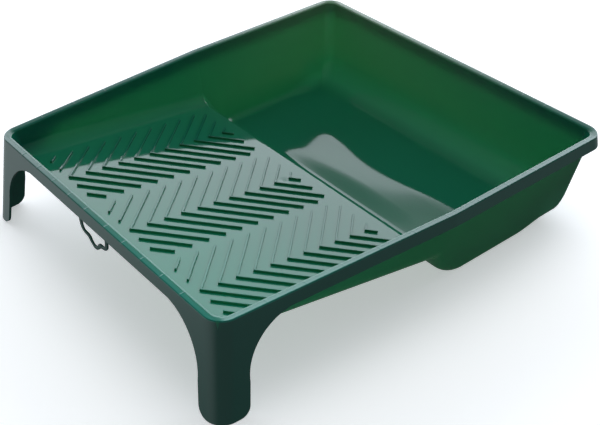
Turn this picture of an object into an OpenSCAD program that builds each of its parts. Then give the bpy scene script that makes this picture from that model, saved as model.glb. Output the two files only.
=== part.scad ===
// Paint roller tray: a one-piece moulded tray with a ribbed ramp, a deep paint
// well, a turned-down rim, two corner legs and a hanging loop.
// Each region of the moulding is its own solid, and neighbours meet face to face.
// x runs across the tray, y from the shallow end to the deep end, z up.

/* [Tray] */
// Length of the rim, shallow end to deep end
tray_length = 360; // [340:5:380]
// Width of the rim at the deep end
deep_width = 320; // [316:1:326]
// Width of the rim beside the ramp lip
lip_width = 315.5; // [312:0.5:316]
// Width of the rim at the shallow end
shallow_width = 284; // [280:1:292]
// Height of the rim above the surface
tray_height = 77; // [75:1:85]
// Thickness of the moulding
wall = 2; // [1.8:0.1:2.4]

/* [Walls] */
// Lean of the inner walls, inwards per millimetre of depth
wall_draft = 0.15; // [0.12:0.01:0.18]
// Plan radius of the inner corners
inner_corner = 9; // [8:0.5:11]
// Radius where the shallow end wall meets the ramp
front_fillet = 9; // [6:1:11]
// Radius where the side walls meet the ramp
ramp_fillet = 13; // [9:1:14]
// Radius where the side walls meet the well floor
well_fillet = 7; // [5:1:10]
// Radius where the side walls meet the well floor at the deep corners
corner_fillet = 15; // [10:1:18]
// Radius where the deep end wall meets the well floor
back_fillet = 28; // [16:1:32]

/* [Ramp] */
// Depth of the ramp plane below the rim at the shallow end
ramp_start = 19.8; // [18:0.1:22]
// Fall of the ramp per millimetre
ramp_fall = 0.1475; // [0.13:0.0025:0.16]
// Distance of the ramp lip from the shallow end
lip_y = 194.6; // [185:0.2:200]
// Angle of the drop below the lip
drop_angle = 58; // [50:1:62]
// Radius at the bottom of the drop
drop_radius = 25; // [18:1:30]

/* [Rim] */
// Width of the flat rim
rim_width = 5.6; // [5:0.1:7]
// Outer corner radius of the rim
rim_corner = 14.5; // [13.5:0.5:16]
// Depth of the turned-down apron
apron_depth = 10; // [9:0.5:13]
// Outward lean of the apron and legs per millimetre
flare = 0.14; // [0.1:0.01:0.16]
// Thickness of the webs under the rim
web_thickness = 1.2; // [1:0.1:2]
// Spacing of the webs across the two ends
end_web_pitch = 22.6; // [20:0.2:24]
// Spacing of the webs along the two sides
side_web_pitch = 30.1; // [28:0.1:32]

/* [Herringbone] */
// Distance from one chevron to the next
rib_pitch = 14.9; // [13:0.1:16]
// Height of the ribs
rib_height = 1.8; // [1:0.1:3]
// Width of the ribs
rib_width = 1.6; // [1.4:0.1:2.6]
// Rise of an arm along the tray for each millimetre across
rib_steepness = 1.05; // [0.9:0.05:1.2]
// Place of the first whole chevron
first_rib = 27.5; // [26.5:0.5:30]
// Number of whole chevrons in a column
rib_count = 11; // [9:1:11]
// Distance of the outer columns from the middle of the tray
column_x = 86; // [84:0.5:88]

/* [Legs] */
// Radius of the sweep from the apron into the leg
leg_sweep = 42; // [38:1:43]
// Depth at which the sweep ends
sweep_depth = 51.6; // [50:0.2:53]
// Width of the leg on the shallow end
leg_front = 21.5; // [20:0.5:24]
// Width of the leg on the long side
leg_side = 25; // [22:0.5:28]
// Radius of the lower corners of the leg
foot_round = 7; // [4:0.5:7]

/* [Hanging loop] */
// Width of the loop
loop_width = 37.5; // [36:0.5:44]
// Drop of the loop's notch below the rim
loop_drop = 27; // [25:0.5:32]
// Width of the loop's strap
loop_strap = 3; // [2.5:0.5:5]
// Thickness of the loop
loop_thickness = 1.4; // [1.2:0.1:2]

/* [Hidden] */
green = "darkgreen";

steps = 6;                       // pieces in a quarter turn
corner_ease = 0.6;               // the back corners' fillet grows quickly at first
well_depth = tray_height - wall; // inner floor below the rim
y_middle = (tray_length + flare * apron_depth - flare * tray_height) / 2;
lean = sqrt(1 + wall_draft * wall_draft);
ramp_wall = wall * sqrt(1 + ramp_fall * ramp_fall);

// the two straight stretches of a long side
k_ramp = (lip_width - shallow_width) / 2 / lip_y;
k_well = (deep_width - lip_width) / 2 / (tray_length - lip_y);
q_ramp = sqrt(1 + k_ramp * k_ramp);
q_well = sqrt(1 + k_well * k_well);
turn_ramp = atan(k_ramp);
turn_well = atan(k_well);

function mix(a, b, u) = a + (b - a) * u;
function mirrored(p) = [-p.x, p.y, p.z];
function place(xy, depth) = [xy.x, xy.y - y_middle, tray_height - depth];

// ---- plan: a station is [kind, value], at an inset from the rim's outer line
// kind 0 front corner (angle), kind 1 long side (y), kind 2 back corner (angle)
function side_x(y) = y <= lip_y ? shallow_width / 2 + k_ramp * y : lip_width / 2 + k_well * (y - lip_y);
function front_corner(inset, radius, angle) = let (c = inset + radius)
    [shallow_width / 2 + k_ramp * c - c * q_ramp + radius * cos(angle), c + radius * sin(angle)];
function back_corner(inset, radius, angle) = let (c = inset + radius)
    [side_x(tray_length - c) - c * q_well + radius * cos(angle), tray_length - c + radius * sin(angle)];
function side_spot(y, inset) = [side_x(y) - inset * (y <= lip_y ? q_ramp : q_well), y];
function spot(st, inset, radius) =
    st[0] == 0 ? front_corner(inset, radius, st[1]) :
    st[0] == 1 ? side_spot(st[1], inset) : back_corner(inset, radius, st[1]);

front_turn = [for (i = [0:steps]) [0, mix(-90, -turn_ramp, i / steps)]];
back_turn = [for (i = [0:steps]) [2, mix(-turn_well, 90, i / steps)]];

// ---- floor: ramp, drop and well, as depths below the rim
function ramp_depth(y) = ramp_start + ramp_fall * y;
lip_depth = ramp_depth(lip_y);
arc_depth = well_depth - drop_radius;
arc_top = well_depth - drop_radius * (1 - cos(drop_angle));
floor_y = lip_y + (arc_top - lip_depth) / tan(drop_angle) + drop_radius * sin(drop_angle);
under_lip_y = lip_y - (wall / cos(drop_angle) - ramp_wall) / (tan(drop_angle) - ramp_fall);
function floor_depth(y, t) = let (r = drop_radius + t)
    y >= floor_y ? well_depth + t :
    y >= floor_y - r * sin(drop_angle) ? arc_depth + sqrt(r * r - pow(floor_y - y, 2)) :
    y >= (t > 0 ? under_lip_y : lip_y) ? lip_depth + (y - lip_y) * tan(drop_angle) + t / cos(drop_angle) :
    ramp_depth(y) + (t > 0 ? ramp_wall : 0);
grow_line = [288, 296, 304, 310, 316];  // where the side fillet opens towards the deep corners
grow_end = 322;
drop_line = [lip_y, for (i = [0:6]) floor_y - drop_radius * sin(drop_angle * (1 - i / 6))];

// ---- walls: points down a wall and round its fillet, as [inset, depth]
function wall_profile(fillet, fall, start, t) = let (
        r = fillet + t,
        p = sqrt(1 + fall * fall),
        edge = rim_width - t * lean,
        depth = (start + t * p + fall * (edge + r * lean) - r * p) / (1 - fall * wall_draft),
        inset = edge + wall_draft * depth + r * lean,
        from = atan(wall_draft),
        to = 90 - atan(fall)
    ) [[edge + wall_draft * wall, wall],
       for (i = [0:steps]) let (a = mix(from, to, i / steps)) [inset - r * cos(a), depth + r * sin(a)]];

function share(y, from, to) = min(1, max(0, (y - from) / (to - from)));
function eased(u) = u * u * (3 - 2 * u);
function side_fillet(y) = y <= floor_y ? mix(ramp_fillet, well_fillet, share(y, lip_y, floor_y)) :
    mix(well_fillet, corner_fillet, eased(share(y, grow_line[0], grow_end)));
function profile(st, t) =
    st[0] == 0 ? wall_profile(mix(front_fillet, ramp_fillet, (st[1] + 90) / (90 - turn_ramp)),
                              ramp_fall, ramp_start + ramp_fall * inner_corner * (1 + sin(st[1])), t) :
    st[0] == 1 ? wall_profile(side_fillet(st[1]), 0, floor_depth(st[1], t) - t, t) :
    wall_profile(mix(corner_fillet, back_fillet, pow((st[1] + turn_well) / (90 + turn_well), corner_ease)),
                 0, well_depth, t);

// the last point of a front corner is set on the ramp's own plane
function settle(st, xy, depth, i, t) =
    st[0] == 0 && i == steps + 1 ? ramp_depth(xy.y) + (t > 0 ? ramp_wall : 0) : depth;
function wall_ring(st) = let (inside = profile(st, 0), outside = profile(st, wall))
    [for (t = [0, wall]) for (i = [0:steps + 1])
        let (p = t > 0 ? outside[i] : inside[i],
             xy = spot(st, p[0], inner_corner + inside[i][0] - p[0]))
        place(xy, settle(st, xy, p[1], i, t))];

// a band of constant section round the rim, corners given as [inset, depth]
function band_ring(st, section) = [for (s = section) place(spot(st, s[0], rim_corner - max(0, s[0])), s[1])];

// ---- solids: rings hold an inner row and an outer row of points
module loft(rings) {
    n = len(rings[0]) / 2;
    last = len(rings) - 1;
    points = [for (ring = rings) for (p = ring) p];
    function inner(j, i) = j * 2 * n + i;
    function outer(j, i) = j * 2 * n + n + i;
    faces = [
        for (j = [0:last - 1]) for (i = [0:n - 2]) each [
            [inner(j, i), inner(j + 1, i + 1), inner(j + 1, i)],
            [inner(j, i), inner(j, i + 1), inner(j + 1, i + 1)],
            [outer(j, i), outer(j + 1, i), outer(j + 1, i + 1)],
            [outer(j, i), outer(j + 1, i + 1), outer(j, i + 1)]],
        for (j = [0:last - 1]) each [
            [inner(j, 0), inner(j + 1, 0), outer(j + 1, 0)],
            [inner(j, 0), outer(j + 1, 0), outer(j, 0)],
            [inner(j, n - 1), outer(j + 1, n - 1), inner(j + 1, n - 1)],
            [inner(j, n - 1), outer(j, n - 1), outer(j + 1, n - 1)]],
        for (i = [0:n - 2]) each [
            [inner(0, i), outer(0, i + 1), inner(0, i + 1)],
            [inner(0, i), outer(0, i), outer(0, i + 1)],
            [inner(last, i), inner(last, i + 1), outer(last, i + 1)],
            [inner(last, i), outer(last, i + 1), outer(last, i)]]
    ];
    polyhedron(points, faces);
}
function across(ring) = [for (p = ring) mirrored(p)];
module left() mirror([1, 0, 0]) children();

// ---- floor pieces
deck_line = [for (st = front_turn) st, [1, 60], [1, 120], [1, under_lip_y], [1, lip_y]];
function floor_ring(st) = let (r = wall_ring(st), a = r[steps + 1], b = r[2 * steps + 3])
    [a, mirrored(a), b, mirrored(b)];
module ramp_deck() color(green) loft([for (st = deck_line) floor_ring(st)]);
module ramp_drop() color(green) loft([for (y = drop_line) floor_ring([1, y])]);
module well_floor() {
    line = [[1, floor_y], for (y = grow_line) [1, y], for (st = back_turn) st];
    half = [for (st = line) let (p = wall_ring(st)[steps + 1]) [p.x, p.y]];
    other = [for (i = [len(half) - 1:-1:0]) [-half[i].x, half[i].y]];
    color(green) linear_extrude(wall) polygon(concat(half, other));
}

// ---- walls
module front_wall() color(green) loft([across(wall_ring([0, -90])), wall_ring([0, -90])]);
module back_wall() color(green) loft([wall_ring([2, 90]), across(wall_ring([2, 90]))]);
module right_ramp_wall() color(green)
    loft([for (st = [[0, -turn_ramp], [1, 60], [1, 120], [1, under_lip_y], [1, lip_y]]) wall_ring(st)]);
module right_well_wall() color(green)
    loft([for (y = concat(drop_line, grow_line)) wall_ring([1, y]), wall_ring([2, -turn_well])]);
module front_right_corner() color(green) loft([for (st = front_turn) wall_ring(st)]);
module back_right_corner() color(green) loft([for (st = back_turn) wall_ring(st)]);

// ---- rim and apron
rim_section = [[rim_width, 0], [rim_width + wall_draft * wall, wall], [0, 0], [-flare * wall, wall]];
apron_section = [for (t = [wall, 0]) for (h = [wall, apron_depth]) [t - flare * h, h]];
side_line = [[0, -turn_ramp], [1, lip_y], [2, -turn_well]];
back_turn_reversed = [for (i = [steps:-1:0]) back_turn[i]];
module end_band(section, stations) {
    right = [for (st = stations) band_ring(st, section)];
    loft(concat([for (i = [len(right) - 1:-1:0]) across(right[i])], right));
}
module rim_front() color(green) end_band(rim_section, front_turn);
module rim_back() color(green) left() end_band(rim_section, back_turn_reversed);
module rim_right() color(green) loft([for (st = side_line) band_ring(st, rim_section)]);
module apron_front() color(green) end_band(apron_section, front_turn);
module apron_back() color(green) left() end_band(apron_section, back_turn_reversed);
module apron_right() color(green) loft([for (st = side_line) band_ring(st, apron_section)]);

// ---- webs between the apron and the wall
web_depth = apron_depth - 1;
wall_back = rim_width - wall * lean;
web_section = [for (h = [wall, web_depth]) [wall_back + wall_draft * h, h],
               for (h = [wall, web_depth]) [wall - flare * h, h]];
first_end_web = 13.1;    // from the middle of the tray
web_before_lip = 6.2;    // from the lip to the last web beside the ramp
end_webs = [for (i = [0:4]) first_end_web + i * end_web_pitch];
side_webs = [for (i = [-5:5]) lip_y - web_before_lip + i * side_web_pitch];
half_web = [-web_thickness / 2, web_thickness / 2];
module end_web(x) loft([for (d = half_web) [for (s = web_section) place([x + d, s[0]], s[1])]]);
module side_web(y) loft([for (d = half_web) [for (s = web_section) place(side_spot(y + d, s[0]), s[1])]]);
module webs_front() color(green) for (x = end_webs) for (side = [-1, 1]) end_web(side * x);
module webs_back() color(green)
    translate([0, tray_length - 2 * y_middle, 0]) mirror([0, 1, 0])
        for (x = end_webs) for (side = [-1, 1]) end_web(side * x);
module webs_right() color(green) for (y = side_webs) side_web(y);

// ---- herringbone ribs, drawn flat and laid on the ramp plane
rib_start = 26.7;        // where the front of the pattern is cut off
rib_end = 182.7;         // where it stops short of the lip
centre_reach = 38.7;     // run of an arm across the tray, from the point of its chevron
inner_end = 48.5;        // where the outer columns' inner arms end
wall_gap = 16.5;         // from the ends of the outer arms to the foot of the wall
column_spread = 0.022;   // the outer columns lean out with the walls
function column_at(y) = column_x + column_spread * (y - first_rib);
function outer_end(y) = side_x(y) - rim_width - wall_draft * ramp_depth(y) - wall_gap;
function reach(column, side, y) =
    column == 0 ? centre_reach :
    side == column ? outer_end(y + centre_reach) - column_at(y) : column_at(y) - inner_end;
module strap(a, b) {
    run = b - a;
    translate(a) rotate(atan2(run.y, run.x)) {
        translate([0, -rib_width / 2]) square([norm(run), rib_width]);
        for (x = [0, norm(run)]) translate([x, 0]) circle(d = rib_width, $fn = 24);
    }
}
module arm(x, y, side, length) {
    from = max(0, (rib_start - y) / rib_steepness);
    to = min(length, (rib_end - y) / rib_steepness);
    if (to > from + rib_width)
        strap([x + side * from, y + from * rib_steepness], [x + side * to, y + to * rib_steepness]);
}
module herringbone(column) color(green)
    translate([0, -y_middle, tray_height - ramp_start]) rotate([-atan(ramp_fall), 0, 0])
        for (k = [-2:rib_count - 1]) {
            y = first_rib + k * rib_pitch;
            x = column * column_at(y);
            // a whole chevron is one solid, a cut one leaves its two arms apart
            for (sides = k < 0 ? [[-1], [1]] : [[-1, 1]])
                linear_extrude(rib_height) for (side = sides) arm(x, y, side, reach(column, side, y));
        }
module herringbone_left() herringbone(-1);
module herringbone_centre() herringbone(0);
module herringbone_right() herringbone(1);

// ---- legs: a curved corner panel that follows the flare of the apron
leg_x = shallow_width / 2 + flare * sweep_depth - leg_front;
leg_y = leg_side - flare * sweep_depth;
function foot_cut(h) = h < tray_height - foot_round ? 0 :
    foot_round - sqrt(max(0, foot_round * foot_round - pow(h - tray_height + foot_round, 2)));
function sweep(h) = h < sweep_depth ? leg_sweep - sqrt(leg_sweep * leg_sweep - pow(sweep_depth - h, 2)) : 0;
function past(h) = max(0, h - sweep_depth) * flare;
leg_middle = mix(sweep_depth, tray_height - foot_round, 0.5);
leg_depths = [for (i = [0:6]) mix(apron_depth, sweep_depth, pow(i / 6, 1.3)), leg_middle,
              for (i = [0:4]) tray_height - foot_round * (1 - sin(i * 90 / 4))];
function leg_row(h, t) = let (
        inset = t - flare * h,
        r = rim_corner - t,
        front_edge = leg_x - sweep(h) + past(h) + foot_cut(h),
        side_edge = leg_y + sweep(h) - past(h) - foot_cut(h)
    ) [place([front_edge, inset], h),
       for (st = front_turn) place(front_corner(inset, r, st[1]), h),
       place(side_spot(side_edge, inset), h)];
module right_leg() color(green) loft([for (h = leg_depths) concat(leg_row(h, 0), leg_row(h, wall))]);

// ---- hanging loop: a flat strap with a notch for a nail
loop_shoulder = loop_drop - apron_depth - loop_strap - 5.5; // below the apron
loop_point = loop_drop - apron_depth - loop_strap;
loop_middle = -1.2;      // the loop hangs a little to the left
notch_half = 5.2;        // half width of the notch at its shoulders
loop_root = 1;           // how far the strap runs up behind the apron
module loop_outline(grow) {
    w = loop_width / 2 - loop_strap + grow;
    shoulder = loop_shoulder + grow;
    top = loop_root - grow / loop_strap;
    notch = notch_half + grow / 3;
    half = [[w, top], [w - 0.5, 4.5 - shoulder], [w - 4, -shoulder], [notch, -shoulder - grow / 6]];
    polygon([each half, [0, -loop_point - grow], for (i = [3:-1:0]) [-half[i].x, half[i].y]]);
}
module hanging_loop() color(green)
    translate([loop_middle, loop_thickness - flare * apron_depth - y_middle, tray_height - apron_depth])
        rotate([90, 0, 0]) linear_extrude(loop_thickness) difference() {
            loop_outline(loop_strap);
            loop_outline(0);
        }

module left_ramp_wall() left() right_ramp_wall();
module left_well_wall() left() right_well_wall();
module front_left_corner() left() front_right_corner();
module back_left_corner() left() back_right_corner();
module rim_left() left() rim_right();
module apron_left() left() apron_right();
module webs_left() left() webs_right();
module left_leg() left() right_leg();

ramp_deck();
ramp_drop();
well_floor();
front_wall();
back_wall();
left_ramp_wall();
right_ramp_wall();
left_well_wall();
right_well_wall();
front_left_corner();
front_right_corner();
back_left_corner();
back_right_corner();
rim_front();
rim_back();
rim_left();
rim_right();
apron_front();
apron_back();
apron_left();
apron_right();
webs_front();
webs_back();
webs_left();
webs_right();
herringbone_left();
herringbone_centre();
herringbone_right();
left_leg();
right_leg();
hanging_loop();
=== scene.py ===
from math import atan, cos, pi, radians, sin, sqrt, tan

import bmesh
import bpy
from mathutils import Matrix, Vector


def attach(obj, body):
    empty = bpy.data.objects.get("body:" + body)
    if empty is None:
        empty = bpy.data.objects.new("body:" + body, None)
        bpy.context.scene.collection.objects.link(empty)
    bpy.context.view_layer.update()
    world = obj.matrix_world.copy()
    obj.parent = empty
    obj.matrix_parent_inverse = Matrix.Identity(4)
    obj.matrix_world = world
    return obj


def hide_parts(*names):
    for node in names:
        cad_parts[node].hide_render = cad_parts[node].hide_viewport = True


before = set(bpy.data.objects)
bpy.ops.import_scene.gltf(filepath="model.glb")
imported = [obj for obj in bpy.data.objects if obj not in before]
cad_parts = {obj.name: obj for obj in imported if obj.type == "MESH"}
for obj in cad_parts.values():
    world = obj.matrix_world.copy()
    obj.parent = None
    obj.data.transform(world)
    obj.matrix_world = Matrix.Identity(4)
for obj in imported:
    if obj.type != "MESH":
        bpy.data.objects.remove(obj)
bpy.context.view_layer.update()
mm = 0.001
print("frame loaded:", len(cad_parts), "nodes")

# sizes of the moulding in millimetres; y runs from the shallow end, depths go down from the rim
tray = {
    "length": 360, "deepWidth": 320, "lipWidth": 315.5, "shallowWidth": 284, "height": 77,
    "wall": 2, "draft": 0.15, "frontFillet": 9, "rampFillet": 13, "wellFillet": 7,
    "cornerFillet": 15, "backFillet": 28,
    "rampStart": 19.8, "rampFall": 0.1475, "lip": 194.6, "lipRound": 0.8, "underLipRound": 2.5,
    "dropAngle": 58, "dropRadius": 25, "bandDepth": 5,
    "rimWidth": 5.6, "rimCorner": 14.5, "frontTilt": -0.2, "sideTilt": 0.45, "apron": 10, "flare": 0.14,
    "innerRound": 0.6, "chamfer": 1.5, "chamferDrop": 0.42, "outerRound": 1.1, "underRound": 0.9, "edgeBevel": 0.4,
    "cornerGrow": (288, 322), "cornerRows": (288, 317, 4), "cornerEase": 0.6,
    "cornerSteps": 16, "filletSteps": 10, "dropSteps": 16, "floorSteps": 9,
}
warped = {"height": 1.7, "centre": 5, "reach": 95, "side": 134, "sideFade": 82, "from": 238, "to": 300,
          "startFade": 14, "endGap": 60, "endFade": 30}
leg = {"sweep": 42, "sweepDepth": 51.6, "front": 21.5, "side": 25, "footRound": 7, "columnSteps": 4,
       "sweepSteps": 16, "sweepEase": 1.15, "shank": (58, 64), "footTurns": (0, 15, 30, 45, 60, 75, 90)}

length, lip, wall, flare = (tray[k] for k in ("length", "lip", "wall", "flare"))
lean = sqrt(1 + tray["draft"] ** 2)
innerCorner = tray["rimCorner"] - tray["rimWidth"]
middle = (length + flare * tray["apron"] - flare * tray["height"]) / 2
wellDepth = tray["height"] - wall
rampWall = wall * sqrt(1 + tray["rampFall"] ** 2)
kRamp = (tray["lipWidth"] - tray["shallowWidth"]) / 2 / lip
kWell = (tray["deepWidth"] - tray["lipWidth"]) / 2 / (length - lip)
qRamp, qWell = sqrt(1 + kRamp ** 2), sqrt(1 + kWell ** 2)
turnRamp, turnWell = atan(kRamp), atan(kWell)


def mix(a, b, u):
    return a + (b - a) * u


def place(x, y, depth):
    return Vector((x, y - middle, tray["height"] - depth)) * mm


# plan: a station is (kind, value), met at an inset from the rim's outer line
def sideX(y):
    if y <= lip:
        return tray["shallowWidth"] / 2 + kRamp * y
    return tray["lipWidth"] / 2 + kWell * (y - lip)


def frontCorner(inset, radius, angle):
    c = inset + radius
    return tray["shallowWidth"] / 2 + kRamp * c - c * qRamp + radius * cos(angle), c + radius * sin(angle)


def backCorner(inset, radius, angle):
    c = inset + radius
    return sideX(length - c) - c * qWell + radius * cos(angle), length - c + radius * sin(angle)


def spot(station, inset, radius):
    kind, value = station
    if kind == "front":
        return frontCorner(inset, radius, value)
    if kind == "back":
        return backCorner(inset, radius, value)
    if kind == "side":
        return sideX(value) - inset * (qRamp if value <= lip else qWell), value
    corner, angle = (frontCorner, -pi / 2) if kind == "frontRow" else (backCorner, pi / 2)
    x, y = corner(inset, radius, angle)
    return value * x, y


# floor: ramp, drop and well as one line of depths, t is 0 on top and the wall underneath
def rampDepth(y):
    return tray["rampStart"] + tray["rampFall"] * y


slope = radians(tray["dropAngle"])
lipDepth = rampDepth(lip)
arcTop = wellDepth - tray["dropRadius"] * (1 - cos(slope))
floorY = lip + (arcTop - lipDepth) / tan(slope) + tray["dropRadius"] * sin(slope)
underLip = lip - (wall / cos(slope) - rampWall) / (tan(slope) - tray["rampFall"])


def floorDepth(y, t):
    r = tray["dropRadius"] + t
    bend, soft = (underLip, tray["underLipRound"]) if t else (lip, tray["lipRound"])
    if y >= floorY:
        return wellDepth + t
    if y >= floorY - r * sin(slope):
        return wellDepth - tray["dropRadius"] + sqrt(r * r - (floorY - y) ** 2)
    deck = rampDepth(y) + (rampWall if t else 0)
    if y <= bend - soft:
        return deck
    if y >= bend + soft:
        return lipDepth + (y - lip) * tan(slope) + t / cos(slope)
    return deck + (tan(slope) - tray["rampFall"]) * (y - bend + soft) ** 2 / (4 * soft)


def warp(x, y):  # the well floor's slight moulding warp, in millimetres above its plane
    across = cos(min(1, abs(x - warped["centre"]) / warped["reach"]) * pi / 2) ** 2
    edge = min(1, max(0, (warped["side"] - abs(x)) / warped["sideFade"]))
    along = min(1, max(0, (y - warped["from"]) / (warped["to"] - warped["from"])))
    start = min(1, max(0, (y - floorY) / warped["startFade"]))
    end = min(1, max(0, (length - warped["endGap"] - y) / warped["endFade"]))
    fall = (1 + cos(pi * along)) / 2
    return warped["height"] * edge * start * end * mix(1 - across, across, fall)


def wallProfile(fillet, fall, start, t):  # points down a wall and round its fillet, as (inset, depth)
    r, p = fillet + t, sqrt(1 + fall * fall)
    edge = tray["rimWidth"] - t * lean
    depth = (start + t * p + fall * (edge + r * lean) - r * p) / (1 - fall * tray["draft"])
    inset = edge + tray["draft"] * depth + r * lean
    steps = tray["filletSteps"]
    turns = [mix(atan(tray["draft"]), pi / 2 - atan(fall), i / steps) for i in range(steps + 1)]
    return [(inset - r * cos(a), depth + r * sin(a)) for a in turns]


def sideFillet(y):
    if y < floorY:
        return mix(tray["rampFillet"], tray["wellFillet"], min(1, max(0, (y - lip) / (floorY - lip))))
    start, end = tray["cornerGrow"]
    u = min(1, max(0, (y - start) / (end - start)))
    return mix(tray["wellFillet"], tray["cornerFillet"], u * u * (3 - 2 * u))


def profile(station, t):
    kind, value = station
    if kind in ("front", "frontRow"):
        angle = value if kind == "front" else -pi / 2
        fillet = mix(tray["frontFillet"], tray["rampFillet"], (angle + pi / 2) / (pi / 2 - turnRamp))
        start = tray["rampStart"] + tray["rampFall"] * innerCorner * (1 + sin(angle))
        return wallProfile(fillet, tray["rampFall"], start, t)
    if kind == "side":
        return wallProfile(sideFillet(value), 0, floorDepth(value, t) - t, t)
    angle = value if kind == "back" else pi / 2
    u = ((angle + turnWell) / (pi / 2 + turnWell)) ** tray["cornerEase"]
    return wallProfile(mix(tray["cornerFillet"], tray["backFillet"], u), 0, wellDepth, t)


def rounded(corners, radii, steps):  # a line whose inner corners are rounded
    line = [corners[0]]
    for i, radius in enumerate(radii, 1):
        a, b, c = corners[i - 1], corners[i], corners[i + 1]
        start, end = b + (a - b).normalized() * radius, b + (c - b).normalized() * radius
        shares = (j / steps for j in range(steps + 1))
        line += [start * (1 - u) ** 2 + b * 2 * u * (1 - u) + end * u * u for u in shares]
    return line + [corners[-1]]


def rimTilt(station):  # how far the rim's inner edge lies below its outer edge
    kind, value = station
    if kind == "frontRow":
        return tray["frontTilt"]
    if kind == "front":
        u = (value + pi / 2) / (pi / 2 - turnRamp)
        return mix(tray["frontTilt"], tray["sideTilt"], u * u * (3 - 2 * u))
    return tray["sideTilt"]


def band(tilt):  # the rim and apron as (inset, depth, plan radius), from the inner wall round to the outer one
    back = tray["rimWidth"] - wall * lean
    outer, low = tray["rimCorner"], tray["bandDepth"]
    over = rounded([Vector((tray["rimWidth"] + tray["draft"] * low, low, innerCorner)),
                    Vector((tray["rimWidth"], max(0, tilt) + tray["chamferDrop"], innerCorner)),
                    Vector((tray["rimWidth"] - tray["chamfer"], max(0, tilt), innerCorner)),
                    Vector((0, max(0, -tilt), outer)),
                    Vector((-flare * tray["apron"], tray["apron"], outer))],
                   [tray["innerRound"], tray["innerRound"], tray["outerRound"]], 4)
    under = rounded([Vector((wall - flare * tray["apron"], tray["apron"], outer - wall)),
                     Vector((wall - flare * wall, wall, outer - wall)),
                     Vector((back + tray["draft"] * wall, wall, innerCorner + wall * lean)),
                     Vector((back + tray["draft"] * low, low, innerCorner + wall * lean))],
                    [tray["underRound"]] * 2, 3)
    return over, under


def section(station):
    top, below = profile(station, 0), profile(station, wall)
    bandOver, bandUnder = band(rimTilt(station))
    points = [(*spot(station, inset, innerCorner), depth) for inset, depth in reversed(top)]
    points += [(*spot(station, p.x, p.z), p.y) for p in bandOver]
    bottomStart = len(points)
    points += [(*spot(station, p.x, p.z), p.y) for p in bandUnder]
    points += [(*spot(station, low[0], innerCorner + high[0] - low[0]), low[1]) for high, low in zip(top, below)]
    if station[0] in ("front", "frontRow"):  # the foot of the wall is set on the ramp's own plane
        points[0] = (*points[0][:2], rampDepth(points[0][1]))
        points[-1] = (*points[-1][:2], rampDepth(points[-1][1]) + rampWall)
    return points, bottomStart


# the leg's outline, and the columns that the floor, the rim and the legs share
legX = tray["shallowWidth"] / 2 + flare * leg["sweepDepth"] - leg["front"]
legY = leg["side"] - flare * leg["sweepDepth"]


def legReach(depth):
    sweep = leg["sweep"] - sqrt(leg["sweep"] ** 2 - max(0, leg["sweepDepth"] - depth) ** 2)
    past = flare * max(0, depth - leg["sweepDepth"])
    drop = max(0, depth - tray["height"] + leg["footRound"])
    cut = leg["footRound"] - sqrt(max(0, leg["footRound"] ** 2 - drop ** 2))
    return legX - sweep + past + cut, legY + sweep - past - cut


legFrontTop, legSideTop = legReach(tray["apron"])
cornerX = frontCorner(-flare * tray["apron"], tray["rimCorner"], -pi / 2)[0]
legShare = legFrontTop / cornerX
legSteps, floorSteps = leg["columnSteps"], tray["floorSteps"]
legColumns = [mix(legShare, 1, i / legSteps) for i in range(legSteps)]
columns = [legShare * i / floorSteps for i in range(floorSteps)] + legColumns
columns = [-c for c in reversed(columns[1:])] + columns
turnSteps = tray["cornerSteps"]
frontTurn = [("front", mix(-pi / 2, -turnRamp, i / turnSteps)) for i in range(turnSteps + 1)]
backTurn = [("back", mix(-turnWell, pi / 2, i / turnSteps)) for i in range(turnSteps + 1)]
lipRows = [lip + d for d in (-9, -4, -1.9, -0.8, -0.4, 0, 0.4, 0.8, 3, 6)]
arcTurns = [slope * (1 - i / tray["dropSteps"]) for i in range(tray["dropSteps"] + 1)]
arcRows = [floorY - tray["dropRadius"] * sin(a) for a in arcTurns]
floorRows = [floorY + 5 * i for i in range(1, 13)]
sideY = [40, legSideTop, 75, 95, 115, 135, 155, 172, *lipRows, *arcRows, *floorRows, *range(*tray["cornerRows"])]
rightSide = frontTurn + [("side", y) for y in sideY] + backTurn


def mirrored(points):
    return [(-x, y, depth) for x, y, depth in points]


verts, faces, stripFaces = [], [], set()


def addGrid(rows, strip=False, skip=lambda i, j: False):  # rows of (x, y, depth), all of one length
    base, width = len(verts), len(rows[0])
    verts.extend(place(*p) for row in rows for p in row)
    for i in range(len(rows) - 1):
        for j in range(width - 1):
            if not skip(i, j):
                if strip:
                    stripFaces.add(len(faces))
                a = base + i * width + j
                faces.append((a, a + width, a + width + 1, a + 1))


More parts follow.
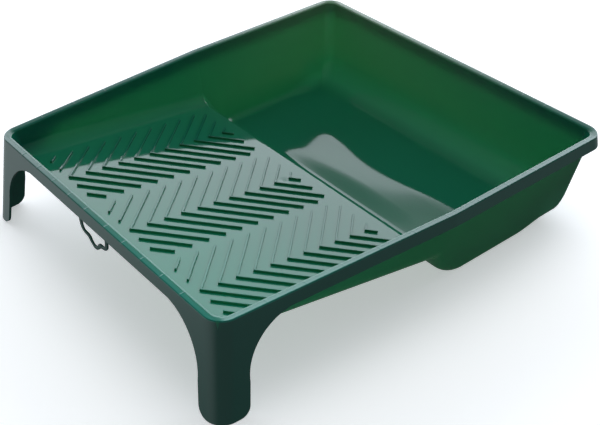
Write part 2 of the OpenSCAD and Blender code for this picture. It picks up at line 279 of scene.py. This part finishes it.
def buildShell():
    right = [section(s)[0] for s in rightSide]
    bottomStart = section(rightSide[0])[1]
    backRow = [section(("backRow", f))[0] for f in reversed(columns)]
    frontRow = [section(("frontRow", f))[0] for f in columns]
    ring = right + backRow + [mirrored(p) for p in reversed(right)] + frontRow
    ring.append(ring[0])
    lastLeg = turnSteps + 2  # the right side's stations up to here carry the leg
    total = len(ring) - 1
    mirrorStart = len(right) + len(backRow)
    legRange = set(range(lastLeg)) | set(range(mirrorStart + len(right) - 1 - lastLeg, mirrorStart + len(right)))
    frontStart = total - len(frontRow)
    legRange |= set(range(frontStart - 1, frontStart + legSteps - 1)) | set(range(total - legSteps, total))
    bottom = bottomStart - 1
    addGrid(ring, skip=lambda i, j: j == bottom)
    addGrid([p[bottom:bottom + 2] for p in ring], strip=True, skip=lambda i, j: i in legRange)
    corner = right[-turnSteps - 1:]
    deepEnd = corner + backRow + [mirrored(p) for p in reversed(corner)]
    for index in (0, -1):  # the floor over, then under: rows across, then one flat face inside the deep end's foot
        rows = []
        for station in right[:-turnSteps - 1]:
            x, y, depth = station[index]
            rows.append([(f * x, y, depth - (0 if index else warp(f * x, y))) for f in [-1, *columns, 1]])
        rows[0][1:-1] = [p[index] for p in frontRow]
        addGrid(rows)
        outline = rows[-1] + [p[index] for p in deepEnd]
        faces.append(tuple(range(len(verts), len(verts) + len(outline))))
        verts.extend(place(*p) for p in outline)


def legRows(t):
    rows = []
    radius = tray["rimCorner"] - t
    steps = leg["sweepSteps"]
    depths = [mix(tray["apron"], leg["sweepDepth"], (i / steps) ** leg["sweepEase"]) for i in range(steps + 1)]
    depths += leg["shank"]
    depths += [tray["height"] - leg["footRound"] * (1 - sin(radians(a))) for a in leg["footTurns"]]
    for depth in depths:
        inset = t - flare * depth
        frontEdge, sideEdge = legReach(depth)
        start = frontCorner(inset, radius, -pi / 2)[0]
        end = frontCorner(inset, radius, -turnRamp)[1]
        topEnd = frontCorner(t - flare * tray["apron"], radius, -turnRamp)[1]
        row = [(mix(frontEdge, start, (f - legShare) / (1 - legShare)), inset, depth) for f in legColumns]
        row += [(*spot(s, inset, radius), depth) for s in frontTurn]
        for y in (sideY[0], legSideTop):
            y = mix(end, sideEdge, (y - topEnd) / (legSideTop - topEnd))
            row.append((*spot(("side", y), inset, radius), depth))
        rows.append(row)
    return rows


def buildLegs():
    outside, inside = legRows(0), legRows(wall)
    for side in (lambda p: p, mirrored):
        addGrid([side(r) for r in outside])
        addGrid([side(r) for r in inside])
        for edge in ([(a[0], b[0]) for a, b in zip(outside, inside)],
                     [(a[-1], b[-1]) for a, b in zip(outside, inside)],
                     list(zip(outside[-1], inside[-1]))):
            addGrid([side(list(pair)) for pair in edge], strip=True)


def finishMesh(bm, name, material, mergeDistance=1e-6):
    bmesh.ops.remove_doubles(bm, verts=bm.verts, dist=mergeDistance)
    bmesh.ops.recalc_face_normals(bm, faces=bm.faces)
    mesh = bpy.data.meshes.new(name)
    bm.to_mesh(mesh)
    bm.free()
    mesh.shade_smooth()
    mesh.materials.append(material)
    piece = bpy.data.objects.new(name, mesh)
    bpy.context.scene.collection.objects.link(piece)
    return piece


def makeShell(material):
    buildShell()
    buildLegs()
    bm = bmesh.new()
    strip = bm.faces.layers.int.new("strip")
    made = [bm.verts.new(v) for v in verts]
    for i, face in enumerate(faces):
        f = bm.faces.new([made[k] for k in face])
        f[strip] = 1 if i in stripFaces else 0
    bmesh.ops.remove_doubles(bm, verts=bm.verts, dist=1e-6)
    weight = bm.edges.layers.float.new("bevel_weight_edge")
    for edge in bm.edges:
        if len({f[strip] for f in edge.link_faces}) == 2:
            edge[weight] = 1.0
    openEdges = sum(1 for e in bm.edges if len(e.link_faces) != 2)
    print("shell open edges:", openEdges)
    shell = finishMesh(bm, "trayShell", material)
    bevel = shell.modifiers.new("rolled edges", "BEVEL")
    bevel.limit_method, bevel.width, bevel.segments = "WEIGHT", tray["edgeBevel"] * mm, 2
    shell.modifiers.new("flat reflections", "WEIGHTED_NORMAL").keep_sharp = True
    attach(shell, "root")
    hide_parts("ramp_deck", "ramp_drop", "well_floor", "front_wall", "back_wall",
                "left_ramp_wall", "right_ramp_wall", "left_well_wall", "right_well_wall",
                "front_left_corner", "front_right_corner", "back_left_corner", "back_right_corner",
                "rim_front", "rim_back", "rim_left", "rim_right",
                "apron_front", "apron_back", "apron_left", "apron_right", "left_leg", "right_leg")
    return shell


# node wiring for the materials and for the repeated pieces
class Wire:  # one socket of a node tree; sums with numbers or other wires add Math nodes
    def __init__(self, tree, socket=None):
        self.tree, self.socket = tree, socket

    def node(self, kind, settings=None, values=None, out=0):
        made = self.tree.nodes.new(kind)
        for name, value in (settings or {}).items():
            setattr(made, name, value)
        for key, value in (values or {}).items():
            if isinstance(value, Wire):
                self.tree.links.new(value.socket, made.inputs[key])
            else:
                made.inputs[key].default_value = value
        return Wire(self.tree, made.outputs[out]) if len(made.outputs) else None

    def maths(self, operation, *values):
        return self.node("ShaderNodeMath", {"operation": operation}, dict(enumerate(values)))

    def __add__(self, other):
        return self.maths("ADD", self, other)

    def __radd__(self, other):
        return self.maths("ADD", other, self)

    def __sub__(self, other):
        return self.maths("SUBTRACT", self, other)

    def __rsub__(self, other):
        return self.maths("SUBTRACT", other, self)

    def __mul__(self, other):
        return self.maths("MULTIPLY", self, other)

    def __rmul__(self, other):
        return self.maths("MULTIPLY", other, self)

    def __truediv__(self, other):
        return self.maths("DIVIDE", self, other)

    def __rtruediv__(self, other):
        return self.maths("DIVIDE", other, self)

    def __abs__(self):
        return self.maths("ABSOLUTE", self)

    def least(self, other):
        return self.maths("MINIMUM", self, other)

    def most(self, other):
        return self.maths("MAXIMUM", self, other)

    def ease(self, start, end, first=0.0, last=1.0):  # a smooth step from first to last
        return self.node("ShaderNodeMapRange", {"interpolation_type": "SMOOTHSTEP"}, {
            "Value": self, "From Min": start, "From Max": end, "To Min": first, "To Max": last})


plastic = {
    "light": (0.008, 0.118, 0.086, 1), "dark": (0.005, 0.096, 0.070, 1), "through": (0.27, 0.92, 0.46, 1),
    "throughShare": 0.22, "roughness": 0.04, "roughnessSpread": 0.04, "ior": 1.56,
    "cloudScale": 14, "grainScale": 900, "waveScale": 9, "waveHeight": 0.05, "grainHeight": 0.0015,
    # the next two tints are painted light: a glow on the walls towards the far corner and a sheen along the foot
    # of the deep end's wall
    "paintedGlow": (0.14, 0.24, 0.15, 1), "paintedGlowShare": 0.9, "foot": (0.03, 0.20, 0.14, 1), "footShare": 0.9,
    # the first tint on the next line is painted light: a fresher green where more light falls towards the near
    # corner
    "near": (0.006, 0.20, 0.145, 1), "edgeThroughShare": 0.02, "bumpStrength": 1.0,
    "streakScale": 170, "streakShare": 0.3, "streakStretch": (1.0, 1.0, 0.08),
    "creaseHeight": 0.03, "creaseWidth": 0.0015, "gate": (-0.0001, -0.0055), "gateHeight": 0.3, "gateDimple": 0.25,
    "gateTop": (0.0016, 0.0009), "gateRing": (0.006, 0.0016), "sinkHeight": 0.07, "sinkWidth": 0.0009,
}
# where each mark starts and ends, in metres from the origin of the frame
extents = {
    "rimCentre": 0.003, "endRim": (0.1645, 0.1655), "endSpan": (0.1125, 0.1115), "sideRim": (0.1645, 0.1635),
    "rimTop": (0.0745, 0.0755), "rampFrom": (-0.135, -0.125), "rampTo": (0.0, -0.004),
    # the next line places the painted glow towards the far corner, and the line after it starts with the painted
    # sheen at the deep end's foot
    "paintedGlowAlong": (-0.02, 0.19), "paintedGlowAcross": (0.17, -0.17), "paintedGlowUp": (0.006, 0.03),
    "footAlong": (0.125, 0.15), "footFrom": (0.002, 0.009), "footTo": (0.042, 0.014), "edge": (-0.0034, -0.0028),
    # the next line places the painted light towards the near corner
    "paintedNearLightAlong": (0.02, -0.15), "paintedNearLightAcross": (-0.12, 0.1), "paintedNearLightTop": (0.0755, 0.0763),
}
# the webs under the rim, whose places also show as faint ridges on top of it
webs = {"thickness": 1.2, "depth": 9, "overlap": 0.3, "endFirst": 13.1, "endPitch": 22.6, "endCount": 5,
        "sideLast": lip - 6.2, "sidePitch": 30.1, "rampCount": 6, "wellCount": 5}


def pulses(distance, first, pitch, width):  # narrow ridges at equal steps from the first one
    shifted = distance - first + pitch / 2
    offset = shifted.maths("FLOORED_MODULO", shifted, pitch) - pitch / 2
    return abs(offset).ease(0.0, width, 1.0, 0.0)


def makePlastic(name, look):
    material = bpy.data.materials.new(name)
    material.use_nodes = True
    tree = material.node_tree
    tree.nodes.clear()
    wire = Wire(tree)
    where = wire.node("ShaderNodeTexCoord", out="Object")

    def noise(vector, scale, detail):
        return wire.node("ShaderNodeTexNoise", None, {"Vector": vector, "Scale": scale, "Detail": detail}, "Fac")

    def tint(share, under, over):
        return wire.node("ShaderNodeMix", {"data_type": "RGBA"}, {0: share, 6: under, 7: over}, 2)

    cloud = noise(where, look["cloudScale"], 4.0)
    grain = noise(where, look["grainScale"], 2.0)
    wave = noise(where, look["waveScale"], 1.0)
    stretched = wire.node("ShaderNodeMapping", None, {"Vector": where, "Scale": look["streakStretch"]})
    streak = noise(stretched, look["streakScale"], 2.0)
    cloud = cloud * (1 - look["streakShare"]) + streak * look["streakShare"]
    colour = tint(cloud, look["dark"], look["light"])
    roughness = look["roughness"] + cloud * look["roughnessSpread"]
    split = wire.node("ShaderNodeSeparateXYZ", None, {0: where})
    x, y, z = (Wire(tree, split.socket.node.outputs[k]) for k in "XYZ")

    # light ridges across the rim where the webs sit beneath it
    fromCentre = abs(y - extents["rimCentre"])
    onEnds = fromCentre.ease(*extents["endRim"]) * abs(x).ease(*extents["endSpan"])
    onSides = fromCentre.ease(*extents["sideRim"])
    sinks = (pulses(abs(x), webs["endFirst"] * mm, webs["endPitch"] * mm, look["sinkWidth"]) * onEnds
             + pulses(y, (webs["sideLast"] - middle) * mm, webs["sidePitch"] * mm, look["sinkWidth"]) * onSides)
    sinks = sinks * z.ease(*extents["rimTop"])
    # a crease down the middle of the ramp, and the gate mark at its end
    onRamp = y.ease(*extents["rampFrom"]) * y.ease(*extents["rampTo"])
    crease = abs(x).ease(look["creaseWidth"], 0.0) * onRamp
    gateX, gateY = x - look["gate"][0], y - look["gate"][1]
    squares = gateX * gateX + gateY * gateY
    reach = squares.maths("SQRT", squares)
    gate = reach.ease(*look["gateTop"]) * look["gateHeight"] - reach.ease(*look["gateRing"]) * look["gateDimple"]
    height = (wave * look["waveHeight"] + grain * look["grainHeight"] + sinks * look["sinkHeight"]
              + crease * look["creaseHeight"] + gate)
    # painted light on the walls towards the far corner, a glow standing in for light shining through and off them,
    # and a painted sheen along the foot of the deep end's wall, standing in for a soft reflection
    paintedGlow = y.ease(*extents["paintedGlowAlong"]) * x.ease(*extents["paintedGlowAcross"]) * z.ease(*extents["paintedGlowUp"])
    foot = y.ease(*extents["footAlong"]) * z.ease(*extents["footFrom"]) * z.ease(*extents["footTo"])
    colour = tint(paintedGlow * look["paintedGlowShare"], colour, look["paintedGlow"])
    colour = tint(foot * look["footShare"], colour, look["foot"])
    # the apron and the legs, outside the walls, let almost no light through
    fromFront = y + middle * mm
    side = (fromFront * kRamp + tray["shallowWidth"] / 2 * mm).least(
        (fromFront - lip * mm) * kWell + tray["lipWidth"] / 2 * mm)
    outside = (abs(x) - side).most(0 - fromFront).most(fromFront - length * mm)
    onEdge = outside.ease(*extents["edge"])
    throughShare = mix(look["throughShare"], look["edgeThroughShare"], onEdge)
    # painted light: the ramp and the rim are drawn a fresher green towards the near corner, where more light falls
    # on them
    inside = (1 - onEdge).most(z.ease(*extents["paintedNearLightTop"]))
    near = y.ease(*extents["paintedNearLightAlong"]) * x.ease(*extents["paintedNearLightAcross"]) * inside
    colour = tint(near, colour, look["near"])
    bump = wire.node("ShaderNodeBump", None, {"Strength": look["bumpStrength"], "Distance": mm, "Height": height})
    shader = wire.node("ShaderNodeBsdfPrincipled", None, {
        "Base Color": colour, "Roughness": roughness, "Normal": bump, "IOR": look["ior"]})
    through = wire.node("ShaderNodeBsdfTranslucent", None, {"Color": look["through"]})
    shader = wire.node("ShaderNodeMixShader", None, {0: throughShare, 1: shader, 2: through})
    wire.node("ShaderNodeOutputMaterial", None, {"Surface": shader})
    return material


greenPlastic = makePlastic("darkGreenPlastic", plastic)
trayShell = makeShell(greenPlastic)
print("shell made:", len(trayShell.data.polygons), "faces")

# herringbone ribs on the ramp
herringbone = {
    "pitch": 14.9, "height": 1.8, "width": 1.6, "steepness": 1.05, "first": 27.5, "count": 11, "cutCount": 2,
    "start": 26.7, "end": 182.7, "columnX": 86, "spread": 0.022, "centreReach": 38.7, "innerEnd": 48.5,
    "wallGap": 16.5, "edge": 0.4, "edgeTurns": (20, 40, 60, 80), "root": 0.3, "capSteps": 8, "tipSteps": 6,
}


def ribOutline(both):
    # the plan of a rib, as (side, far, x, y): an offset from the apex or from the end of an arm
    half = herringbone["width"] / 2
    rise = atan(herringbone["steepness"])
    steps = herringbone["capSteps"]

    def cap(side, far, direction):
        turns = [direction - pi / 2 + pi * i / steps for i in range(steps + 1)]
        return [(side, far, half * cos(a), half * sin(a)) for a in turns]

    if both:
        tip = half / cos(rise)
        tipSteps = herringbone["tipSteps"]
        turns = [mix(-rise, rise, i / tipSteps) for i in range(tipSteps + 1)]
        outer = [(0, 0, half * sin(a), -half * cos(a)) for a in turns]
        right = cap(1, 1, rise)
        left = cap(-1, 1, pi - rise)
        return [outer + right + [(0, 0, 0, tip)] + left]
    return [cap(1, 1, rise) + cap(1, 0, rise + pi), cap(-1, 1, pi - rise) + cap(-1, 0, 2 * pi - rise)]


def ribTemplate(both):
    # rings of the plan at several heights, drawn in a little at the top edge
    bm = bmesh.new()
    side = bm.verts.layers.float.new("side")
    far = bm.verts.layers.float.new("far")
    edge, top = herringbone["edge"], herringbone["height"]
    heights = [(-herringbone["root"], 1.0), (top - edge, 1.0)]
    for a in (radians(d) for d in herringbone["edgeTurns"]):
        heights.append((top - edge + edge * sin(a), 1 - edge * (1 - cos(a)) / (herringbone["width"] / 2)))
    for outline in ribOutline(both):
        rings = []
        for height, shrink in heights:
            ring = []
            for s, f, x, y in outline:
                v = bm.verts.new((x * shrink * mm, y * shrink * mm, height * mm))
                v[side], v[far] = s, f
                ring.append(v)
            rings.append(ring)
        count = len(outline)
        for a, b in zip(rings, rings[1:]):
            for i in range(count):
                bm.faces.new((a[i], a[(i + 1) % count], b[(i + 1) % count], b[i]))
        bm.faces.new(rings[-1])
        bm.faces.new(list(reversed(rings[0])))
    mesh = bpy.data.meshes.new("ribTemplate")
    bm.to_mesh(mesh)
    bm.free()
    return mesh


def addInputs(group, sizes):
    group.interface.new_socket("Geometry", in_out="INPUT", socket_type="NodeSocketGeometry")
    group.interface.new_socket("Geometry", in_out="OUTPUT", socket_type="NodeSocketGeometry")
    kinds = {int: "NodeSocketInt", float: "NodeSocketFloat", tuple: "NodeSocketVector"}
    for name, value in sizes.items():
        group.interface.new_socket(name, in_out="INPUT", socket_type=kinds[type(value)])


def bakeTree(name, template, group, sizes):
    piece = bpy.data.objects.new(name + "Template", template)
    bpy.context.scene.collection.objects.link(piece)
    modifier = piece.modifiers.new("pattern", "NODES")
    modifier.node_group = group
    identifiers = {item.name: item.identifier for item in group.interface.items_tree if item.in_out == "INPUT"}
    for key, value in sizes.items():
        modifier[identifiers[key]] = value
    depsgraph = bpy.context.evaluated_depsgraph_get()
    mesh = bpy.data.meshes.new_from_object(piece.evaluated_get(depsgraph))
    piece.modifiers.remove(modifier)
    bpy.data.objects.remove(piece)
    return mesh


def ribTree(material):
    group = bpy.data.node_groups.new("herringboneColumn", "GeometryNodeTree")
    sizes = {"Count": 1, "First": 0.0, "Pitch": 0.0, "Apex X": 0.0, "Spread": 0.0, "Steepness": 0.0,
             "Start": 0.0, "End": 0.0,
             "Left Reach": 0.0, "Left Growth": 0.0, "Right Reach": 0.0, "Right Growth": 0.0,
             "Tilt": (0.0, 0.0, 0.0), "Origin": (0.0, 0.0, 0.0)}
    addInputs(group, sizes)
    wire = Wire(group)
    source = group.nodes.new("NodeGroupInput")

    def given(key):
        return Wire(group, source.outputs[key])

    line = wire.node("GeometryNodeMeshLine", None, {"Count": given("Count"), "Offset": (0.0, 0.0, 0.0)})
    rows = wire.node("GeometryNodeStoreNamedAttribute", {"data_type": "FLOAT", "domain": "POINT"},
                     {"Geometry": line, "Name": "row", "Value": wire.node("GeometryNodeInputIndex")})
    ribs = wire.node("GeometryNodeInstanceOnPoints", None, {"Points": rows, "Instance": given("Geometry")})
    ribs = wire.node("GeometryNodeRealizeInstances", None, {"Geometry": ribs})

    def stored(key):
        return wire.node("GeometryNodeInputNamedAttribute", {"data_type": "FLOAT"}, {"Name": key}, "Attribute")

    row, side, far = (stored(key) for key in ("row", "side", "far"))
    y = given("First") + row * given("Pitch")
    isLeft = wire.maths("LESS_THAN", side, -0.5)
    left = given("Left Reach") + y * given("Left Growth")
    right = given("Right Reach") + y * given("Right Growth")
    reach = left * isLeft + right * (1 - isLeft)
    near = ((given("Start") - y) / given("Steepness")).most(0.0)
    end = ((given("End") - y) / given("Steepness")).least(reach)
    along = near + (end - near) * far
    apex = given("Apex X") + y * given("Spread")
    offset = wire.node("ShaderNodeCombineXYZ", None, {
        "X": (apex + side * along) * mm, "Y": (y + along * given("Steepness")) * mm})
    ribs = wire.node("GeometryNodeSetPosition", None, {"Geometry": ribs, "Offset": offset})
    ribs = wire.node("GeometryNodeTransform", None, {
        "Geometry": ribs, "Translation": given("Origin"), "Rotation": given("Tilt")})
    ribs = wire.node("GeometryNodeSetMaterial", None, {"Geometry": ribs, "Material": material})
    wire.node("NodeGroupOutput", None, {0: ribs})
    return group


def makeHerringbone(material):
    group = ribTree(material)
    h = herringbone
    origin = tuple(place(0, 0, tray["rampStart"]))
    tilt = (-atan(tray["rampFall"]), 0.0, 0.0)
    # the outer columns lean out with the walls, and their outer arms stop at one distance from them
    columnBase = h["columnX"] - h["spread"] * h["first"]
    wallGrowth = kRamp - tray["draft"] * tray["rampFall"]
    wallFoot = tray["shallowWidth"] / 2 - tray["rimWidth"] - tray["draft"] * tray["rampStart"]
    outerBase = wallFoot - h["wallGap"] + wallGrowth * h["centreReach"]
    outerReach, outerGrowth = outerBase - columnBase, wallGrowth - h["spread"]
    innerReach, innerGrowth = columnBase - h["innerEnd"], h["spread"]
    layout = {
        "herringboneLeft": (-columnBase, -h["spread"], outerReach, outerGrowth, innerReach, innerGrowth),
        "herringboneCentre": (0.0, 0.0, h["centreReach"], 0.0, h["centreReach"], 0.0),
        "herringboneRight": (columnBase, h["spread"], innerReach, innerGrowth, outerReach, outerGrowth),
    }
    runs = ((True, h["first"], h["count"]), (False, h["first"] - h["cutCount"] * h["pitch"], h["cutCount"]))
    pieces = []
    for name, (apexX, spread, leftReach, leftGrowth, rightReach, rightGrowth) in layout.items():
        bm = bmesh.new()
        for both, first, count in runs:
            mesh = bakeTree(name, ribTemplate(both), group, {
                "Count": count, "First": first, "Pitch": h["pitch"], "Apex X": apexX, "Spread": spread,
                "Steepness": h["steepness"], "Start": h["start"], "End": h["end"],
                "Left Reach": leftReach, "Left Growth": leftGrowth,
                "Right Reach": rightReach, "Right Growth": rightGrowth,
                "Tilt": tilt, "Origin": origin})
            bm.from_mesh(mesh)
            bpy.data.meshes.remove(mesh)
        piece = finishMesh(bm, name, material, 1e-8)
        piece.modifiers.new("flat reflections", "WEIGHTED_NORMAL").keep_sharp = True
        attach(piece, "root")
        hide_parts("herringbone_" + name[11:].lower())
        pieces.append(piece)
    return pieces


ribs = makeHerringbone(greenPlastic)
print("herringbone made:", sum(len(r.data.polygons) for r in ribs), "faces")

# webs under the rim
def webTemplate(across):  # across is the plan direction from the apron to the wall
    bm = bmesh.new()
    low, overlap = webs["depth"], webs["overlap"]
    back = tray["rimWidth"] - wall * lean + overlap
    outline = [(back + tray["draft"] * (wall - overlap), wall - overlap), (back + tray["draft"] * low, low),
               (wall - flare * low - overlap, low), (wall - flare * wall - overlap, wall - overlap)]
    along = Vector((across[1], across[0], 0))
    inward, half = Vector((*across, 0)), webs["thickness"] / 2
    rings = [[bm.verts.new((inward * inset + along * d * half - Vector((0, 0, h))) * mm) for inset, h in outline]
             for d in (-1, 1)]
    bm.faces.new(rings[0])
    bm.faces.new(list(reversed(rings[1])))
    for i in range(4):
        bm.faces.new((rings[0][i], rings[0][(i + 1) % 4], rings[1][(i + 1) % 4], rings[1][i]))
    bmesh.ops.recalc_face_normals(bm, faces=bm.faces)
    mesh = bpy.data.meshes.new("webTemplate")
    bm.to_mesh(mesh)
    bm.free()
    return mesh


def webTree(material):
    group = bpy.data.node_groups.new("websUnderRim", "GeometryNodeTree")
    addInputs(group, {"Count": 1, "First": (0.0, 0.0, 0.0), "Step": (0.0, 0.0, 0.0)})
    wire = Wire(group)
    source = group.nodes.new("NodeGroupInput")

    def given(key):
        return Wire(group, source.outputs[key])

    line = wire.node("GeometryNodeMeshLine", None, {
        "Count": given("Count"), "Start Location": given("First"), "Offset": given("Step")})
    row = wire.node("GeometryNodeInstanceOnPoints", None, {"Points": line, "Instance": given("Geometry")})
    row = wire.node("GeometryNodeRealizeInstances", None, {"Geometry": row})
    row = wire.node("GeometryNodeSetMaterial", None, {"Geometry": row, "Material": material})
    wire.node("NodeGroupOutput", None, {0: row})
    return group


def makeWebs(material):
    group = webTree(material)
    bm = bmesh.new()
    runs = []
    for side in (-1, 1):
        for end, across in ((0, (0, 1)), (length, (0, -1))):
            runs.append((across, (side * webs["endFirst"], end), (side * webs["endPitch"], 0), webs["endCount"]))
        rampFirst = webs["sideLast"] - webs["sidePitch"] * (webs["rampCount"] - 1)
        wellFirst = webs["sideLast"] + webs["sidePitch"]
        for first, q, k, count in ((rampFirst, qRamp, kRamp, webs["rampCount"]),
                                   (wellFirst, qWell, kWell, webs["wellCount"])):
            step = (side * k * webs["sidePitch"], webs["sidePitch"])
            runs.append(((-side * q, 0), (side * sideX(first), first), step, count))
    for across, (x, y), (stepX, stepY), count in runs:
        mesh = bakeTree("web", webTemplate(across), group, {
            "Count": count, "First": tuple(place(x, y, 0)), "Step": (stepX * mm, stepY * mm, 0.0)})
        bm.from_mesh(mesh)
        bpy.data.meshes.remove(mesh)
    piece = finishMesh(bm, "rimWebs", material, 1e-8)
    for polygon in piece.data.polygons:
        polygon.use_smooth = False
    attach(piece, "root")
    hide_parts("webs_front", "webs_back", "webs_left", "webs_right")
    return piece


rimWebs = makeWebs(greenPlastic)
print("webs made:", len(rimWebs.data.polygons), "faces")

# hanging loop under the shallow end, as (x, depth) down one half
loop = {
    "outer": [(18.7, 9.5), (18.6, 12.5), (18.2, 15.5), (16.9, 18.2), (14, 20.2), (8.7, 21.5),
              (5.9, 24), (2.4, 26.6), (0, 27)],
    "inner": [(15.6, 9.5), (15.4, 12.5), (14.6, 16), (12.4, 18.1), (7.8, 18.4), (5.6, 19.4),
              (3.6, 22.2), (1.6, 23.8), (0, 24)],
    "middle": -1.2, "thickness": 1.4, "steps": 6, "bevel": 0.3,
}


def smoothLine(points, steps):
    # a Catmull-Rom line through the points, mirrored across the middle
    full = [Vector(p) for p in points] + [Vector((-x, y)) for x, y in reversed(points[:-1])]
    line = []
    for i in range(len(full) - 1):
        a, b, c, d = full[max(0, i - 1)], full[i], full[i + 1], full[min(len(full) - 1, i + 2)]
        for j in range(steps):
            u = j / steps
            bend, twist = 2 * a - 5 * b + 4 * c - d, 3 * b - a - 3 * c + d
            line.append(0.5 * (2 * b + (c - a) * u + bend * u * u + twist * u ** 3))
    return line + [full[-1]]


def makeLoop(material):
    bm = bmesh.new()
    outer, inner = (smoothLine(loop[k], loop["steps"]) for k in ("outer", "inner"))
    front = -flare * tray["apron"]
    back = front + loop["thickness"]
    rings = [[bm.verts.new(place(x + loop["middle"], y, depth)) for x, depth, y in
              ((*o, front), (*o, back), (*i, back), (*i, front))] for o, i in zip(outer, inner)]
    for a, b in zip(rings, rings[1:]):
        for k in range(4):
            bm.faces.new((a[k], a[(k + 1) % 4], b[(k + 1) % 4], b[k]))
    bm.faces.new(rings[0])
    bm.faces.new(list(reversed(rings[-1])))
    piece = finishMesh(bm, "hangingLoop", material, 1e-8)
    bevel = piece.modifiers.new("rolled edges", "BEVEL")
    bevel.limit_method, bevel.angle_limit = "ANGLE", radians(50)
    bevel.width, bevel.segments = loop["bevel"] * mm, 2
    piece.modifiers.new("flat reflections", "WEIGHTED_NORMAL").keep_sharp = True
    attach(piece, "root")
    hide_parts("hanging_loop")
    return piece


hangingLoop = makeLoop(greenPlastic)
print("loop made:", len(hangingLoop.data.polygons), "faces")

# floor, light and camera
studio = {
    "floor": (0.90, 0.91, 0.92, 1), "floorGlow": 0.48, "floorRoughness": 0.9, "floorRadius": 6, "floorSteps": 96,
    "floorDrop": 0.0004, "room": (0.86, 0.97, 1.0, 1), "roomStrength": 0.13, "lowStrength": 0.27,
    "underStrength": 0.08, "underFrom": (-0.75, -0.35), "horizon": (-0.05, 0.0),
    "sideGlow": 0.6, "sideGlowFacing": (-0.68, -0.73, 0.0), "sideGlowEnds": (0.2, 0.9),
    "screen": (0.87, 0.91, 1.0, 1), "screenStrength": 3.3, "screenFacing": (-0.72, 0.69, 0.0),
    "screenFoot": (0.0, 0.04), "screenFade": (25, 31), "screenFadeTo": 0.92, "screenTop": 36.8, "screenSoft": 3.2,
    "screenEnds": (0.15, 0.6), "ceilingStrength": 0.8, "ceilingFrom": (36.0, 39.0), "ceilingEnds": (0.55, 0.78),
    "topPlace": (-0.3, 0.5, 2.2), "topSize": 1.8, "topStrength": 1.9,
}


def areaLight(name, centre, target, width, height, radiance):
    light = bpy.data.lights.new(name, "AREA")
    light.shape, light.size, light.size_y = "RECTANGLE", width, height
    light.energy = radiance * pi * width * height
    lamp = bpy.data.objects.new(name, light)
    bpy.context.scene.collection.objects.link(lamp)
    turn = (Vector(target) - Vector(centre)).to_track_quat("-Z", "Y").to_matrix().to_4x4()
    lamp.matrix_world = Matrix.Translation(centre) @ turn
    lamp.visible_camera = False
    return lamp


def makeRoom():
    # a pale room with one wide bright screen behind the tray, up to a soft top edge
    world = bpy.data.worlds.new("studioRoom")
    bpy.context.scene.world = world
    world.use_nodes = True
    world.node_tree.nodes.clear()
    wire = Wire(world.node_tree)
    direction = wire.node("ShaderNodeTexCoord", out="Generated")
    height = wire.node("ShaderNodeSeparateXYZ", None, {0: direction}, "Z")

    def towards(key):
        return wire.node("ShaderNodeVectorMath", {"operation": "DOT_PRODUCT"},
                         {0: direction, 1: studio[key]}, "Value")

    facing = towards("screenFacing")
    top, soft = studio["screenTop"], studio["screenSoft"]
    under = height.ease(sin(radians(top - soft)), sin(radians(top + soft)), 1.0, 0.0)
    fade = height.ease(*(sin(radians(a)) for a in studio["screenFade"]), 1.0, studio["screenFadeTo"])
    screen = under * fade * height.ease(*studio["screenFoot"]) * facing.ease(*studio["screenEnds"])
    screen = screen * studio["screenStrength"]
    ceiling = height.ease(*(sin(radians(a)) for a in studio["ceilingFrom"])) * facing.ease(*studio["ceilingEnds"])
    lower = height.ease(*studio["underFrom"], studio["underStrength"], studio["lowStrength"])
    aside = towards("sideGlowFacing").ease(*studio["sideGlowEnds"]) * studio["sideGlow"]
    lower = lower + aside * height.ease(*studio["underFrom"])
    upper = height.ease(*studio["horizon"])
    strength = lower * (1 - upper) + upper * studio["roomStrength"] + ceiling * studio["ceilingStrength"]
    room = wire.node("ShaderNodeBackground", None, {"Color": studio["room"], "Strength": strength})
    light = wire.node("ShaderNodeBackground", None, {"Color": studio["screen"], "Strength": screen})
    light = wire.node("ShaderNodeAddShader", None, {0: room, 1: light})
    wire.node("ShaderNodeOutputWorld", None, {"Surface": light})


def makeStudio():
    bpy.context.scene.view_settings.view_transform = "Standard"
    bm = bmesh.new()
    bmesh.ops.create_circle(bm, cap_ends=True, segments=studio["floorSteps"], radius=studio["floorRadius"])
    material = bpy.data.materials.new("paleFloor")
    material.use_nodes = True
    shader = material.node_tree.nodes["Principled BSDF"]
    shader.inputs["Base Color"].default_value = studio["floor"]
    shader.inputs["Roughness"].default_value = studio["floorRoughness"]
    shader.inputs["Emission Color"].default_value = studio["floor"]
    shader.inputs["Emission Strength"].default_value = studio["floorGlow"]
    floor = finishMesh(bm, "floor", material)
    floor.data.transform(Matrix.Translation((0, 0, -studio["floorDrop"])))
    floor.visible_diffuse = floor.visible_glossy = False  # the tray isn't lit from below
    makeRoom()
    size = studio["topSize"]
    topLight = areaLight("topLight", studio["topPlace"], (0, 0, 0), size, size, studio["topStrength"])
    topLight.visible_glossy = False


cameraView = {"place": (0.5148, -0.4234, 0.4959), "azimuth": 49.88, "elevation": 36.79, "lens": 60.63}


def makeCamera():
    data = bpy.data.cameras.new("camera")
    data.lens, data.sensor_width = cameraView["lens"], 36
    camera = bpy.data.objects.new("camera", data)
    bpy.context.scene.collection.objects.link(camera)
    camera.location = cameraView["place"]
    camera.rotation_euler = (radians(90 - cameraView["elevation"]), 0, radians(cameraView["azimuth"]))
    bpy.context.scene.camera = camera


makeStudio()
makeCamera()
print("studio ready")
